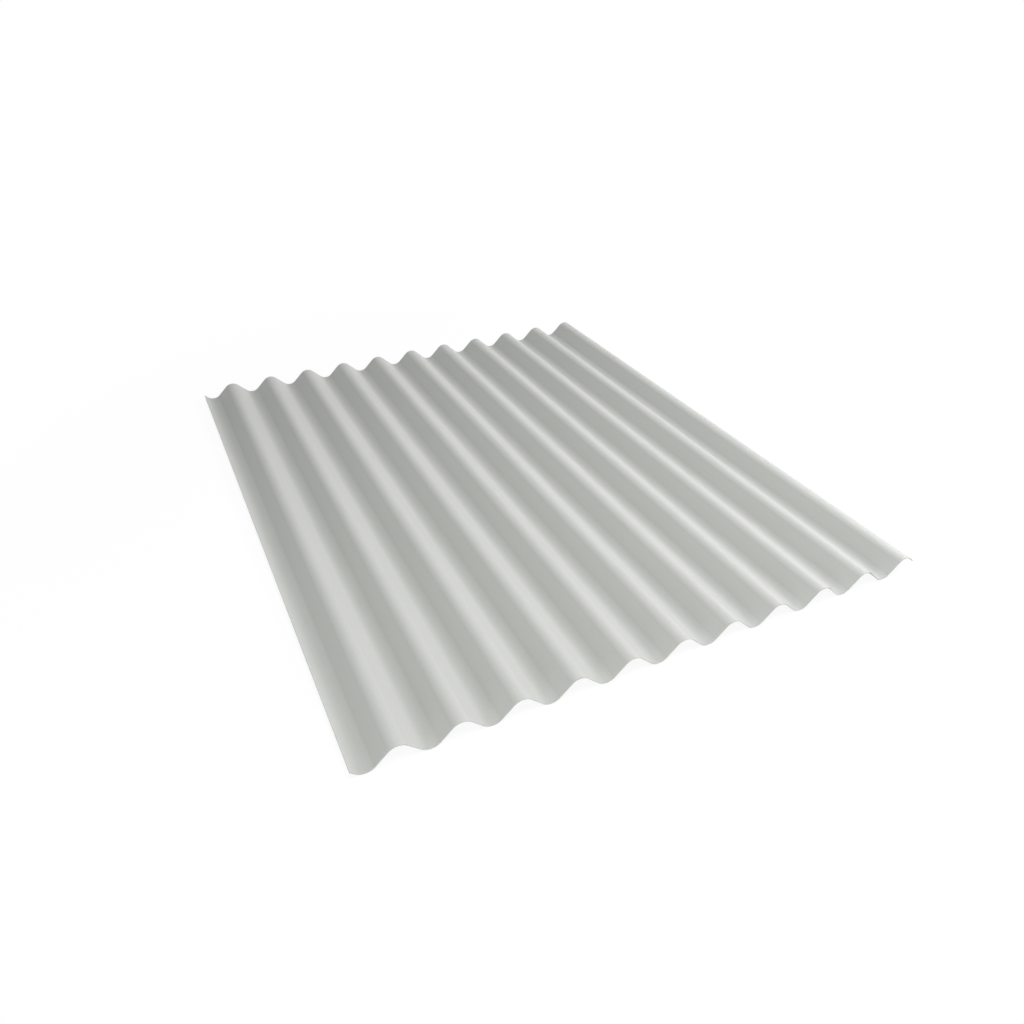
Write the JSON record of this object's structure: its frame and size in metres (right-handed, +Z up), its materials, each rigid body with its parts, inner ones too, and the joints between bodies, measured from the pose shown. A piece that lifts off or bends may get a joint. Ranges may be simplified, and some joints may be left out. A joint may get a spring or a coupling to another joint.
{
  "type": "corrugated metal sheet",
  "caption": "Pale grey painted metal sheet rolled into even rounded waves along its length, with square cut ends and one side edge turned up, the other down, for roofing, cladding and fencing.",
  "frame": {"origin": "on the floor under the middle of the sheet, which lies on its valleys", "axes": "+X across the waves from the turned-up edge to the turned-down edge, +Y along the waves, +Z up out of the sheet"},
  "size_m": [0.7418, 0.895, 0.0222],
  "materials": {
    "painted_sheet": "satin factory paint on galvanised steel"
  },
  "bodies": {
    "root": {"corrugated_sheet": "painted_sheet"}
  },
  "joints": []
}
